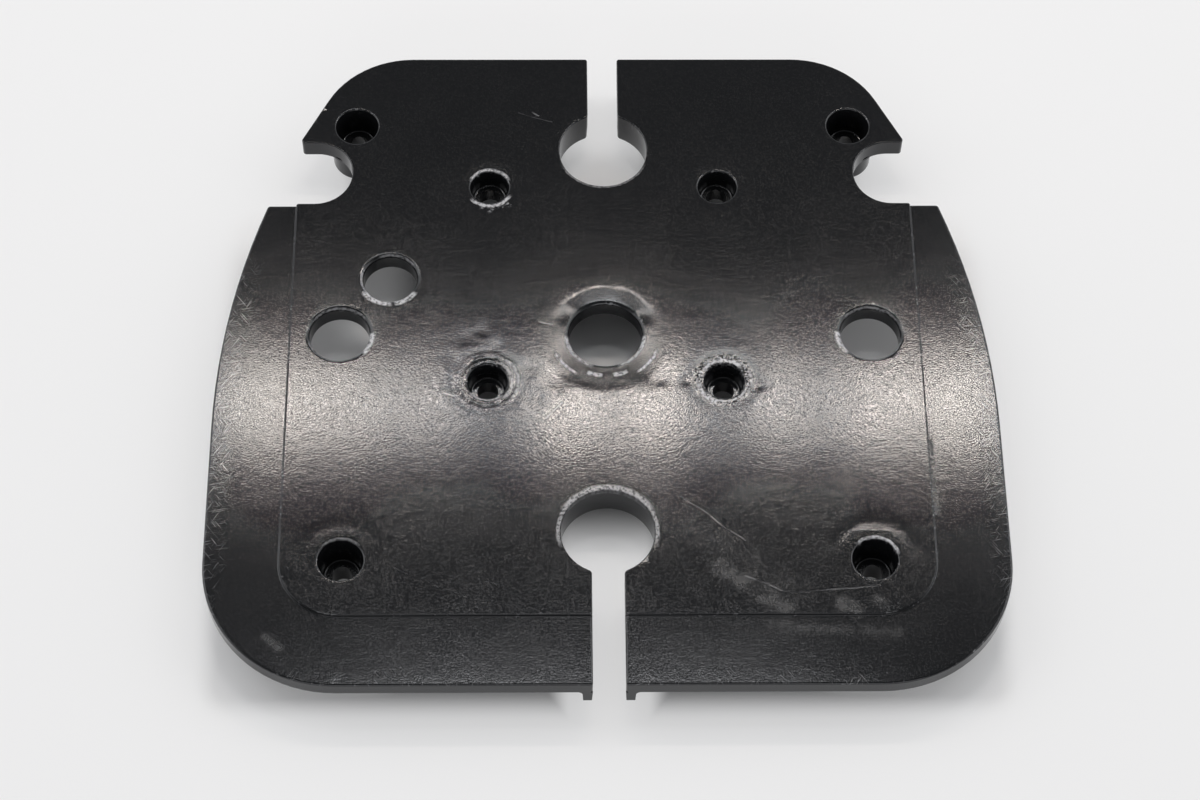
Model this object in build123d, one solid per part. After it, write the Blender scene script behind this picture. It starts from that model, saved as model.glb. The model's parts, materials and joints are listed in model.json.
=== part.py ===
from build123d import *
import math
import os

# Motor mounting plate, moulded in one piece.
# The origin is on the axis of the shaft hole, in the plane of the four feet.
# +Z is up through the flat face and +Y runs to the back edge with a keyhole slot.

# Plate
plate_half_width = 87.2
front_edge_y = -86.8
back_edge_y = 77.2
plate_thickness = 4.8
front_corner_radius = 29.4

# Flank that draws the sides in towards the notches
flank_start_y = -24.1
flank_radius = 186.6

# Back corners, and the tips between them and the notches
back_corner_radius = 22.0
tip_edge_length = 13.97
tip_length = 4.0
tip_round = 0.8

# Side notches
notch_radius = 8.6
notch_inset = 20.45
notch_centre_y = 44.2

# Raised panel, with the lower rim around it
rim_step = 0.9
side_rim = 16.4
panel_front_y = -70.7
panel_corner_radius = 13.3

# Feet with a recessed screw hole, on a square pattern
foot_spacing = 115.0
foot_height = 12.8
foot_radius = 6.25
foot_recess_radius = 4.95
foot_recess_floor_radius = 4.0
foot_recess_depth = 7.2
foot_hole_radius = 2.25

# Bosses for the motor screws, on a square pattern set back from the shaft hole
motor_spacing = 52.7
motor_pattern_y = 13.8
motor_boss_radius = 6.0
motor_boss_depth = 8.4
motor_recess_radius = 4.5
motor_recess_floor_radius = 3.75
motor_recess_depth = 4.7
motor_hole_radius = 2.4

# Shaft hole and the plain holes beside it
shaft_hole_radius = 8.25
side_hole_radius = 6.7
side_hole_x = 59.65
index_hole_radius = 6.05
index_hole_x = -48.7
index_hole_y = 15.0

# Keyhole slots with a wall around them, at the back and the front edge
keyhole_y = 50.65
keyhole_radius = 10.2
slot_width = 7.0
neck_round = 1.0
mouth_round = 0.6
collar_wall = 2.2
collar_depth = 9.1
draft_angle = 2.5

# Rounded edges
panel_edge_round = 0.25
step_foot_round = 0.3
rim_edge_round = 0.5
lower_edge_round = 0.3
recess_edge_round = 0.4
side_hole_edge_round = 1.0
shaft_hole_edge_round = 0.8
boss_edge_round = 0.6
recess_floor_round = 0.4
collar_edge_round = 0.8
root_round = 0.9

# Length by which a cut runs past a face, and a wall runs into the plate
overrun = 1.0
sink = 0.6

# Places drawn in from the sides, and the end of the tip past the notch's centre
notch_centre_x = plate_half_width - notch_inset
panel_half_width = plate_half_width - side_rim
tip_x = notch_centre_x + tip_length

# Centre of the back corner, from which the straight edge of the tip has its length
tip_rise = notch_centre_y + notch_radius - back_edge_y + back_corner_radius
back_corner_centre_x = tip_x - math.sqrt(back_corner_radius**2 + tip_edge_length**2 - tip_rise**2)

# Levels
panel_top = foot_height
rim_top = panel_top - rim_step
plate_bottom = panel_top - plate_thickness
collar_bottom = panel_top - collar_depth
motor_boss_bottom = panel_top - motor_boss_depth


def mirrored(x, y):
    return [(-x, y), (x, y)]


def square_pattern(spacing, centre_y):
    half = spacing / 2
    return mirrored(half, centre_y + half) + mirrored(half, centre_y - half)


# Point where the back corner's arc runs into the straight edge of the tip
def back_corner_end():
    centre = Vector(back_corner_centre_x, back_edge_y - back_corner_radius)
    tip = Vector(tip_x, notch_centre_y + notch_radius)
    away = tip - centre
    angle = math.atan2(away.Y, away.X) + math.acos(back_corner_radius / away.length)
    return centre + Vector(math.cos(angle), math.sin(angle)) * back_corner_radius


def flank_x(y):
    rise = y - flank_start_y
    return plate_half_width - flank_radius + math.sqrt(flank_radius**2 - rise**2)


# Plan outline of the plate, drawn for +X and mirrored
def outline_area():
    notch_top_y = notch_centre_y + notch_radius
    notch_low_y = notch_centre_y - notch_radius
    corner_x = plate_half_width - front_corner_radius
    corner_y = front_edge_y + front_corner_radius
    tip = (tip_x, notch_top_y)
    shoulder = (flank_x(notch_low_y), notch_low_y)
    with BuildSketch() as area:
        with BuildLine():
            Line((0, back_edge_y), (back_corner_centre_x, back_edge_y))
            TangentArc((back_corner_centre_x, back_edge_y), back_corner_end(), tangent=(1, 0))
            Line(back_corner_end(), tip)
            Line(tip, (notch_centre_x, notch_top_y))
            ThreePointArc(
                (notch_centre_x, notch_top_y),
                (notch_centre_x - notch_radius, notch_centre_y),
                (notch_centre_x, notch_low_y),
            )
            Line((notch_centre_x, notch_low_y), shoulder)
            TangentArc((plate_half_width, flank_start_y), shoulder, tangent=(0, 1))
            Line((plate_half_width, flank_start_y), (plate_half_width, corner_y))
            TangentArc((plate_half_width, corner_y), (corner_x, front_edge_y), tangent=(0, -1))
            Line((corner_x, front_edge_y), (0, front_edge_y))
            Line((0, front_edge_y), (0, back_edge_y))
        make_face()
        sharp = [area.vertices().sort_by_distance(point)[0] for point in (tip, shoulder)]
        fillet(sharp, tip_round)
        mirror(about=Plane.YZ)
    return area.sketch


# Round hole with a slot that opens through the edge at edge_y
def keyhole_area(centre_y, edge_y):
    side = math.copysign(1, edge_y)
    mouth_y = edge_y + side * overrun
    neck_y = centre_y + side * math.sqrt(keyhole_radius**2 - (slot_width / 2) ** 2)
    with BuildSketch() as area:
        with Locations((0, centre_y)):
            Circle(keyhole_radius)
        with Locations((0, (centre_y + mouth_y) / 2)):
            Rectangle(slot_width, abs(mouth_y - centre_y))
        neck = [area.vertices().sort_by_distance(point)[0] for point in mirrored(slot_width / 2, neck_y)]
        fillet(neck, neck_round)
    return area.sketch


def keyhole_areas():
    return [keyhole_area(keyhole_y, back_edge_y), keyhole_area(-keyhole_y, front_edge_y)]


# Plan of the plate with both slots cut and their mouths rounded
def plate_area():
    plan = (outline_area() - keyhole_areas()).face()
    mouths = mirrored(slot_width / 2, back_edge_y) + mirrored(slot_width / 2, front_edge_y)
    corners = [plan.vertices().sort_by_distance(point)[0] for point in mouths]
    return plan.fillet_2d(mouth_round, corners)


# Area of the raised panel, which runs past the back edge
def panel_area():
    length = back_edge_y + overrun - panel_front_y
    with BuildSketch() as area:
        with Locations((0, panel_front_y)):
            Rectangle(2 * panel_half_width, length, align=(Align.CENTER, Align.MIN))
        fillet(area.vertices().group_by(Axis.Y)[0], panel_corner_radius)
    return area.sketch


def lies_at(edge, level):
    box = edge.bounding_box()
    return abs(box.min.Z - level) < 0.01 and abs(box.max.Z - level) < 0.01


# Distance in plan from the middle of an edge to the nearest of some lines
def plan_gap(edge, lines):
    middle = edge @ 0.5
    return min(line.distance_to(Vector(middle.X, middle.Y)) for line in lines)


# Tool that lowers the rim, rounded along the foot of the panel's step
def rim_tool():
    width = 2 * (plate_half_width + overrun)
    length = back_edge_y - front_edge_y + 2 * overrun
    cover = Pos(0, (back_edge_y + front_edge_y) / 2) * Rectangle(width, length)
    tool = extrude(Plane.XY.offset(rim_top) * (cover - panel_area()), rim_step + overrun)
    step = panel_area().edges()
    foot = tool.edges().filter_by(lambda edge: lies_at(edge, rim_top) and plan_gap(edge, step) < 0.01)
    return tool.fillet(step_foot_round, foot)


# Plate with its stepped face and rounded outer edges, before its round holes
def plate(plan):
    body = extrude(Plane.XY.offset(plate_bottom) * plan, plate_thickness) - rim_tool()
    step = panel_area().edges()
    rim_edges = body.edges().filter_by(
        lambda edge: lies_at(edge, rim_top) and plan_gap(edge, step) > 2 * step_foot_round
    )
    body = body.fillet(rim_edge_round, rim_edges)
    body = body.fillet(panel_edge_round, body.edges().filter_by(lambda edge: lies_at(edge, panel_top)))
    return body.fillet(lower_edge_round, body.edges().filter_by(lambda edge: lies_at(edge, plate_bottom)))


# Drafted wall around one keyhole slot, below the plate
def collar(plan, keyhole):
    outer = offset(keyhole, collar_wall)
    level = Plane.XY.offset(plate_bottom)
    depth = plate_bottom - collar_bottom
    wall = extrude(level * outer, depth, dir=(0, 0, -1), taper=draft_angle)
    wall -= extrude(level * keyhole, depth, dir=(0, 0, -1), taper=-draft_angle)
    wall &= extrude(Plane.XY.offset(collar_bottom) * outline_area(), depth)
    wall = wall.fillet(collar_edge_round, wall.edges().filter_by(lambda edge: lies_at(edge, collar_bottom)))
    return wall + extrude(level * (outer & plan), sink)


# Plate with one keyhole's wall, and a fillet where the wall's outer side meets it
def with_collar(body, plan, keyhole):
    body += collar(plan, keyhole)
    outside = (Plane.XY.offset(plate_bottom) * offset(keyhole, collar_wall)).edges()
    root = body.edges().filter_by(
        lambda edge: lies_at(edge, plate_bottom) and min(line.distance_to(edge @ 0.5) for line in outside) < 0.02
    )
    return body.fillet(root_round, root)


# Solid turned about Z from corners given as radius, height and rounding
def turned(*corners):
    with BuildSketch() as profile:
        with BuildLine():
            Polyline(*[(radius, height) for radius, height, rounding in corners], close=True)
        make_face()
        for radius, height, rounding in corners:
            if rounding:
                fillet(profile.vertices().sort_by_distance((radius, height))[0], rounding)
    return revolve(Plane.XZ * profile.sketch, Axis.Z)


# Round post below the plate, with a flared root
def post(radius, bottom):
    flare = radius + root_round + sink
    return turned(
        (0, bottom, 0),
        (radius, bottom, boss_edge_round),
        (radius, plate_bottom, root_round),
        (flare, plate_bottom, 0),
        (flare, plate_bottom + sink, 0),
        (0, plate_bottom + sink, 0),
    )


# Tool for a screw hole in the bottom of a drafted recess
def recessed_hole(recess_radius, floor_radius, depth, hole_radius, bottom):
    rim = recess_radius + recess_edge_round + sink
    floor = panel_top - depth
    return turned(
        (0, bottom - overrun, 0),
        (hole_radius, bottom - overrun, 0),
        (hole_radius, floor, 0),
        (floor_radius, floor, recess_floor_round),
        (recess_radius, panel_top, recess_edge_round),
        (rim, panel_top, 0),
        (rim, panel_top + overrun, 0),
        (0, panel_top + overrun, 0),
    )


# Tool for a plain round hole with both edges rounded
def plain_hole(radius, top_round):
    low_rim = radius + lower_edge_round + sink
    top_rim = radius + top_round + sink
    return turned(
        (0, plate_bottom - overrun, 0),
        (low_rim, plate_bottom - overrun, 0),
        (low_rim, plate_bottom, 0),
        (radius, plate_bottom, lower_edge_round),
        (radius, panel_top, top_round),
        (top_rim, panel_top, 0),
        (top_rim, panel_top + overrun, 0),
        (0, panel_top + overrun, 0),
    )


def placed(solid, points):
    return [Pos(x, y, 0) * solid for x, y in points]


def mounting_plate():
    plan = plate_area()
    feet_at = square_pattern(foot_spacing, 0)
    motor_at = square_pattern(motor_spacing, motor_pattern_y)
    foot_hole = recessed_hole(
        foot_recess_radius, foot_recess_floor_radius, foot_recess_depth, foot_hole_radius, 0
    )
    motor_hole = recessed_hole(
        motor_recess_radius, motor_recess_floor_radius, motor_recess_depth, motor_hole_radius, motor_boss_bottom
    )
    body = plate(plan)
    for keyhole in keyhole_areas():
        body = with_collar(body, plan, keyhole)
    body += placed(post(foot_radius, 0), feet_at)
    body += placed(post(motor_boss_radius, motor_boss_bottom), motor_at)
    body -= placed(foot_hole, feet_at)
    body -= placed(motor_hole, motor_at)
    body -= plain_hole(shaft_hole_radius, shaft_hole_edge_round)
    body -= placed(plain_hole(side_hole_radius, side_hole_edge_round), mirrored(side_hole_x, 0))
    body -= placed(plain_hole(index_hole_radius, side_hole_edge_round), [(index_hole_x, index_hole_y)])
    return body


if __name__ == "__main__":
    os.makedirs("parts", exist_ok=True)
    export_step(mounting_plate(), "parts/mounting_plate.step")
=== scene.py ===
import json
import math

import bmesh
import bpy
from bpy.props import FloatProperty, FloatVectorProperty, PointerProperty
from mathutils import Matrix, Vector, noise

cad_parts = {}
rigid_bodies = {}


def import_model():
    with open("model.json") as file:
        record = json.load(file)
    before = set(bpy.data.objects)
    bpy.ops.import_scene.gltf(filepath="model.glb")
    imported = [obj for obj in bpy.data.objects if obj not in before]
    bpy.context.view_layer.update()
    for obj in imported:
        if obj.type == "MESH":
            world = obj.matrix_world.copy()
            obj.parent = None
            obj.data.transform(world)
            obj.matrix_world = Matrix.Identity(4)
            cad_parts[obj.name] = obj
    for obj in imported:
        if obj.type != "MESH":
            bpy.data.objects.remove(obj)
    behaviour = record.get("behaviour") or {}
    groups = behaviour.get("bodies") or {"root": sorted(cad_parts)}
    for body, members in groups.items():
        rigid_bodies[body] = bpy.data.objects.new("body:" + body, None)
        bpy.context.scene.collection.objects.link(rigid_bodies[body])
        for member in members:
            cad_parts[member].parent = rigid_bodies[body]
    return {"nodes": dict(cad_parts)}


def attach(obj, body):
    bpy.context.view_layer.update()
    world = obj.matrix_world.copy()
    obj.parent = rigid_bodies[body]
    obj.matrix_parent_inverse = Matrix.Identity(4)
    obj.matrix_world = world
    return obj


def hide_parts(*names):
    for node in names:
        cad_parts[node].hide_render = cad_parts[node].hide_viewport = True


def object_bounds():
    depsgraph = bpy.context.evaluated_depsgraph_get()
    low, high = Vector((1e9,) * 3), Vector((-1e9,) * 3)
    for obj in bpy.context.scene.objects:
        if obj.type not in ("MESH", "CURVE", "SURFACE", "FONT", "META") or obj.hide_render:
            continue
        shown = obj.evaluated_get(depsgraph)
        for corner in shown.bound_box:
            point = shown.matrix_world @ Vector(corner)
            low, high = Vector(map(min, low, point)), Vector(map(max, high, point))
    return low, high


bl_info = {
    "name": "Motor Mounting Bracket",
    "version": (1, 0, 0),
    "blender": (4, 5, 0),
    "location": "3D View > Sidebar > Bracket",
    "description": "Dresses the packed bracket as used black plastic and sets it on a pale floor",
    "category": "Object",
}

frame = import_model()
cad_low, cad_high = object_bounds()

MM = 0.001
PLATE_NODE = "mounting_plate"
PLATE_NAME = "moulded_plate"

# Levels and places of the plate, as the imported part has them, in millimetres
PANEL_TOP = 12.8
RIM_TOP = 11.9
HALF_WIDTH = 87.2
FLANK_START = -24.1
FLANK_RADIUS = 186.6
MOTOR_SCREWS = {
    "low_left": (-26.35, -12.55),
    "low_right": (26.35, -12.55),
    "high_left": (-26.35, 40.15),
    "high_right": (26.35, 40.15),
}
FEET = {
    "low_left": (-57.5, -57.5),
    "low_right": (57.5, -57.5),
    "high_left": (-57.5, 57.5),
    "high_right": (57.5, 57.5),
}
SHAFT_HOLE = (0.0, 0.0)
INDEX_HOLE = (-48.7, 15.0)
SIDE_HOLES = {"left": (-59.65, 0.0), "right": (59.65, 0.0)}
KEYHOLES = {"back": (0.0, 50.65), "front": (0.0, -50.65)}

# Points of the mesh that are nearer to each other than this are merged, in metres
MERGE_GAP = 1e-6

# Turn up to which faces side by side count as flat, in radians
FLAT_ANGLE = 0.002

# Turn past which an edge stays sharp, in degrees
SHARP_ANGLE = 35

# How far a large face outweighs a small one in the shading, of 100
FACE_WEIGHT = 80

# Least upright part of the normal of a level face and of a top face
LEVEL_NORMAL = 0.99999
TOP_NORMAL = 0.9999

# Room below the rim's level within which a face still counts as a top face, in millimetres
TOP_ROOM = 0.02

# Boxes in plan whose top faces are cut finer, with the spacing there, in millimetres
FINE_BOXES = [
    ((-17, -17), (17, 14), 0.6),
    ((-39, -23), (-17, 5), 0.6),
    ((17, -22), (35, -4), 0.45),
    ((-35, 31), (-18, 49), 1.0),
    ((-30, 32), (-20, 36), 0.4),
    ((18, 31), (35, 49), 1.0),
    ((-68, -68), (-47, -47), 1.25),
    ((47, -68), (68, -47), 1.25),
    ((-68, 47), (-47, 68), 1.25),
    ((47, 47), (68, 68), 1.25),
]

# Worn dish round the shaft hole: outer radius, inner radius and depth, in millimetres
DISH_BACK = (12.6, 8.5, 0.44)
DISH_SIDE = (12.8, 8.5, 0.08)
DISH_FRONT = (15.2, 9.5, 0.19)

# How far behind or in front of the hole the dish leaves its side form and has its end form
DISH_TO_BACK = (0.15, 0.75)
DISH_TO_FRONT = (0.0, 0.7)

# Wander of the dish's outer edge, in millimetres, and the power that its slope follows
DISH_WANDER = 0.4
DISH_SLOPE = 1.15

# Soft sinks in the panel: centre, inner radius, outer radius and depth, in millimetres
SINKS = [
    (MOTOR_SCREWS["low_left"], 5.6, 9.6, 0.08),
    (MOTOR_SCREWS["low_right"], 5.6, 9.2, 0.04),
    (MOTOR_SCREWS["high_left"], 5.0, 7.6, 0.08),
    (MOTOR_SCREWS["high_right"], 4.8, 6.6, 0.04),
]

# Shallow grooves behind the feet: centre, radius, half width and depth, in millimetres
GROOVES = [
    (FEET["low_left"], 8.8, 1.1, 0.03),
    (FEET["low_right"], 9.2, 1.1, 0.065),
    (FEET["high_left"], 8.6, 1.0, 0.03),
    (FEET["high_right"], 8.8, 1.0, 0.04),
]

# How far behind its centre a groove begins and has its full depth
GROOVE_BEHIND = (-0.2, 0.6)

# Rubbed dents near the lower motor screws: centre, radius and depth, in millimetres
DENTS = [
    ((-31.5, -1.5), 1.9, 0.022),
    ((-27.8, 0.6), 1.7, 0.02),
    ((-24.6, -3.4), 1.8, 0.03),
    ((-34.4, -6.6), 1.8, 0.02),
    ((-16.0, -9.0), 2.0, 0.02),
    ((-15.8, -16.8), 2.0, 0.03),
    ((-9.8, -11.6), 3.2, 0.06),
    ((-4.6, -12.2), 1.6, 0.02),
    ((9.4, -10.2), 3.2, 0.06),
    ((12.6, -12.4), 1.8, 0.02),
    ((17.6, -12.6), 1.2, 0.04),
    ((34.4, -13.8), 1.2, 0.04),
]

# Places where the face is rubbed uneven: centre and radius, in millimetres
RUBBED = [
    ((-28.0, -3.5), 7.5),
    ((-16.5, -12.5), 5.0),
    ((0.0, -14.0), 6.0),
    ((12.5, -12.0), 4.0),
]

# Height of the waves and ripples of a rubbed place, and how far it is worn down, in millimetres
RUBBED_WAVES = 0.018
RUBBED_RIPPLES = 0.006
RUBBED_DEPTH = 0.014

# Small torn flecks on rims: centre and radius, in millimetres
FLECKS = [
    ((-28.2, 34.5), 0.35),
    ((-26.1, 33.7), 0.45),
    ((-25.2, 34.2), 0.3),
    ((-23.6, 34.8), 0.5),
    ((-21.9, 35.3), 0.45),
]

# Torn rings round the lower motor screws: centre, radius, half width and how torn they are
TORN_RINGS = [
    (MOTOR_SCREWS["low_left"], 5.1, 0.4, 0.1),
    (MOTOR_SCREWS["low_right"], 5.6, 0.8, 1.0),
]

# Share of the tearing that a ring has in front, and where it grows to the whole of it
TORN_IN_FRONT = 0.35
TORN_BEHIND = (-1.0, 0.1)

# Height of torn plastic, and of its coarse and its fine raggedness, in millimetres
TORN_HEIGHT = 0.06
TORN_COARSE = 0.25
TORN_FINE = 0.28

# Ridges pushed up round the lower left motor screw: radius, half width, wander and height
PUSHED_RIDGES = [(6.9, 0.7, 0.5, 0.05), (5.3, 0.4, 0.25, 0.10)]
PUSHED_REACH = 9

# Noise over the face: how fine it is across and along, a millimetre, and its layer
DISH_NOISE = (0.35, 0.35, 1.3)
WAVE_NOISE = (0.42, 0.5, 5.2)
RIPPLE_NOISE = (0.9, 1.0, 8.1)
PUSHED_NOISE = (0.3, 0.3, 9.4)
COARSE_NOISE = (0.55, 0.55, 3.1)
FINE_NOISE = (1.9, 1.9, 7.7)

# Shares below which a rubbed or a torn place has no relief
LEAST_RUBBED = 0.02
LEAST_TORN = 0.01

# Depth below the panel at which the relief ends and at which it is whole, in millimetres
RELIEF_ENDS = 1.6
RELIEF_WHOLE = 0.3

# Upright part of the normal between which a rounded edge begins, and between which it ends
EDGE_BEGINS = (0.1, 0.4)
EDGE_ENDS = (0.8, 0.995)

# Distance from a centre below which the direction to it is not worked out, in millimetres
LEAST_GAP = 0.001


class PlasticSettings(bpy.types.PropertyGroup):
    """Colour and gloss of the moulding."""

    colour: FloatVectorProperty(
        name="Colour",
        description="Colour of the plastic where it is clean",
        default=(0.0050, 0.0053, 0.0060),
        min=0.0,
        max=1.0,
        size=3,
        subtype="COLOR",
    )
    # Colour of the wear, and also of the painted highlights: glints along hole rims that stand in
    # for light caught on their edges
    wear_and_glint_colour: FloatVectorProperty(
        name="Worn Colour",
        description="Colour of the plastic where it is scratched or torn",
        default=(0.56, 0.56, 0.58),
        min=0.0,
        max=1.0,
        size=3,
        subtype="COLOR",
    )
    roughness: FloatProperty(
        name="Roughness",
        description="Roughness of the moulded faces",
        default=0.08,
        min=0.0,
        max=1.0,
        subtype="FACTOR",
    )
    grain_roughness: FloatProperty(
        name="Grain Roughness",
        description="Roughness that the raised grains of the face add",
        default=0.08,
        min=0.0,
        max=1.0,
        subtype="FACTOR",
    )
    grid: FloatProperty(
        name="Face Grid",
        description="Spacing of the cuts across the top faces",
        default=0.004,
        min=0.0005,
        max=0.01,
        unit="LENGTH",
    )
    relief: FloatProperty(
        name="Relief",
        description="Height of the largest dent or burr that a full weight gives",
        default=0.0005,
        min=0.0,
        max=0.002,
        unit="LENGTH",
    )


class StageSettings(bpy.types.PropertyGroup):
    """Floor, lamps and camera."""

    floor_colour: FloatVectorProperty(
        name="Floor Colour",
        description="Colour of the floor sheet",
        default=(0.84, 0.84, 0.845),
        min=0.0,
        max=1.0,
        size=3,
        subtype="COLOR",
    )
    floor_size: FloatProperty(
        name="Floor Size",
        description="Side of the square floor",
        default=4.0,
        min=0.5,
        max=20.0,
        unit="LENGTH",
    )
    # This share also sets the painted light on the floor under the slots
    floor_lift: FloatProperty(
        name="Plain Floor",
        description="Share of the floor's own colour, free of shadow, away from the bracket",
        default=0.62,
        min=0.0,
        max=1.0,
        subtype="FACTOR",
    )
    shadow_reach: FloatProperty(
        name="Shadow Reach",
        description="Distance from the bracket at which the floor shows most of its own colour",
        default=0.008,
        min=0.001,
        max=0.5,
        unit="LENGTH",
    )
    low_light: FloatProperty(
        name="Light from the Sides",
        description="Strength of the room's light near the horizon",
        default=1.0,
        min=0.0,
        max=4.0,
    )
    high_light: FloatProperty(
        name="Light from Above",
        description="Strength of the room's light from straight above",
        default=0.16,
        min=0.0,
        max=4.0,
    )


def deselect():
    if bpy.context.object and bpy.context.object.mode != "OBJECT":
        bpy.ops.object.mode_set(mode="OBJECT")
    bpy.ops.object.select_all(action="DESELECT")


def pick(piece):
    deselect()
    piece.select_set(True)
    bpy.context.view_layer.objects.active = piece


def smooth_step(low, high, value):
    t = min(max((value - low) / (high - low), 0.0), 1.0)
    return t * t * (3 - 2 * t)


# Falls smoothly from 1 in the middle to nearly 0 at twice the width
def bell(gap, width):
    share = gap / width
    return math.exp(-share * share)


def gap_to(centre, x, y):
    return math.hypot(x - centre[0], y - centre[1])


# How far a place lies behind a centre, from -1 in front of it to 1 behind it
def behind(centre, x, y):
    return (y - centre[1]) / max(gap_to(centre, x, y), LEAST_GAP)


def unevenness(x, y, pattern):
    across, along, layer = pattern
    return noise.noise(Vector((x * across, y * along, layer)))


def top_face(face):
    return face.normal.z > TOP_NORMAL and face.calc_center_median().z > (RIM_TOP - TOP_ROOM) * MM


# Bisects the shown faces with planes across one axis, from low to high
def cut_across(axis, low, high, spacing):
    for step in range(round((high - low) / spacing) + 1):
        place = [0.0, 0.0, 0.0]
        normal = [0.0, 0.0, 0.0]
        place[axis] = low + step * spacing
        normal[axis] = 1.0
        bpy.ops.mesh.select_all(action="SELECT")
        bpy.ops.mesh.bisect(plane_co=place, plane_no=normal)


# Cuts a grid into the top faces whose middles lie in a box
def cut_grid(mesh, low, high, spacing):
    bpy.ops.mesh.reveal(select=False)
    bm = bmesh.from_edit_mesh(mesh)
    for face in bm.faces:
        middle = face.calc_center_median()
        inside = low[0] < middle.x < high[0] and low[1] < middle.y < high[1]
        face.select_set(inside and top_face(face))
    bpy.ops.mesh.hide(unselected=True)
    cut_across(0, low[0], high[0], spacing)
    cut_across(1, low[1], high[1], spacing)
    bpy.ops.mesh.reveal(select=False)


# Cuts the top faces on their own, with one ring of their neighbours, and joins them back
def cut_top(piece, settings):
    bpy.ops.object.mode_set(mode="EDIT")
    bm = bmesh.from_edit_mesh(piece.data)
    for face in bm.faces:
        face.select_set(abs(face.normal.z) > LEVEL_NORMAL)
    bpy.ops.mesh.dissolve_limited(angle_limit=FLAT_ANGLE)
    bpy.ops.mesh.select_all(action="DESELECT")
    bm = bmesh.from_edit_mesh(piece.data)
    for face in bm.faces:
        face.select_set(top_face(face))
    bpy.ops.mesh.select_more()
    bpy.ops.mesh.separate(type="SELECTED")
    bpy.ops.object.mode_set(mode="OBJECT")
    cover = [obj for obj in bpy.context.selected_objects if obj != piece][0]
    pick(cover)
    bpy.ops.object.mode_set(mode="EDIT")
    bpy.ops.mesh.select_mode(type="FACE")
    cut_grid(cover.data, (cad_low.x, cad_low.y), (cad_high.x, cad_high.y), settings.grid)
    for low, high, spacing in FINE_BOXES:
        corners = [[value * MM for value in corner] for corner in (low, high)]
        cut_grid(cover.data, *corners, spacing * MM)
    bpy.ops.mesh.select_all(action="SELECT")
    bpy.ops.mesh.quads_convert_to_tris(quad_method="BEAUTY", ngon_method="BEAUTY")
    bpy.ops.object.mode_set(mode="OBJECT")
    pick(piece)
    cover.select_set(True)
    bpy.ops.object.join()
    bpy.ops.object.mode_set(mode="EDIT")
    bpy.ops.mesh.select_all(action="SELECT")
    bpy.ops.mesh.remove_doubles(threshold=MERGE_GAP)
    bpy.ops.object.mode_set(mode="OBJECT")


# Depth of the worn dish round the shaft hole, shallow at the sides
def dish_depth(x, y):
    away = gap_to(SHAFT_HOLE, x, y)
    back = smooth_step(*DISH_TO_BACK, behind(SHAFT_HOLE, x, y))
    front = smooth_step(*DISH_TO_FRONT, -behind(SHAFT_HOLE, x, y))
    outer, inner, depth = [
        at_side + back * (at_back - at_side) + front * (at_front - at_side)
        for at_back, at_side, at_front in zip(DISH_BACK, DISH_SIDE, DISH_FRONT)
    ]
    outer += DISH_WANDER * unevenness(x, y, DISH_NOISE)
    share = min(max((outer - away) / (outer - inner), 0.0), 1.0)
    return depth * share**DISH_SLOPE


# Height of the used face over the moulded one at a place in plan, in millimetres
def face_relief(x, y):
    height = -dish_depth(x, y)
    for centre, inner, outer, depth in SINKS:
        height -= depth * (1 - smooth_step(inner, outer, gap_to(centre, x, y)))
    for centre, radius, width, depth in GROOVES:
        line = bell(gap_to(centre, x, y) - radius, width)
        height -= depth * line * smooth_step(*GROOVE_BEHIND, behind(centre, x, y))
    for centre, radius, depth in DENTS:
        height -= depth * bell(gap_to(centre, x, y), radius)
    return height


# Uneven height of the rubbed places, in millimetres
def rubbed_relief(x, y):
    share = max(bell(gap_to(centre, x, y), radius) for centre, radius in RUBBED)
    if share < LEAST_RUBBED:
        return 0.0
    waves = RUBBED_WAVES * unevenness(x, y, WAVE_NOISE)
    ripples = RUBBED_RIPPLES * unevenness(x, y, RIPPLE_NOISE)
    return share * (waves + ripples - RUBBED_DEPTH)


# Height of the smooth ridges pushed up round the lower left motor screw, in millimetres
def pushed_relief(x, y):
    gap = gap_to(MOTOR_SCREWS["low_left"], x, y)
    if gap > PUSHED_REACH:
        return 0.0
    stray = unevenness(x, y, PUSHED_NOISE)
    return sum(
        height * bell(gap - radius - wander * stray, width)
        for radius, width, wander, height in PUSHED_RIDGES
    )


# How torn the plastic is at the flecks and round the two lower motor screws, from 0 to 1
def torn_share(x, y):
    share = max(bell(gap_to(centre, x, y), radius) for centre, radius in FLECKS)
    for centre, radius, width, most in TORN_RINGS:
        back = smooth_step(*TORN_BEHIND, behind(centre, x, y))
        spread = most * (TORN_IN_FRONT + (1 - TORN_IN_FRONT) * back)
        share = max(share, spread * bell(gap_to(centre, x, y) - radius, width))
    return share


# Height of the torn plastic, ragged round each ring, in millimetres
def torn_relief(x, y):
    share = torn_share(x, y)
    if share < LEAST_TORN:
        return 0.0
    coarse = TORN_COARSE * unevenness(x, y, COARSE_NOISE)
    fine = TORN_FINE * unevenness(x, y, FINE_NOISE)
    return share * (TORN_HEIGHT + coarse + fine)


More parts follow.
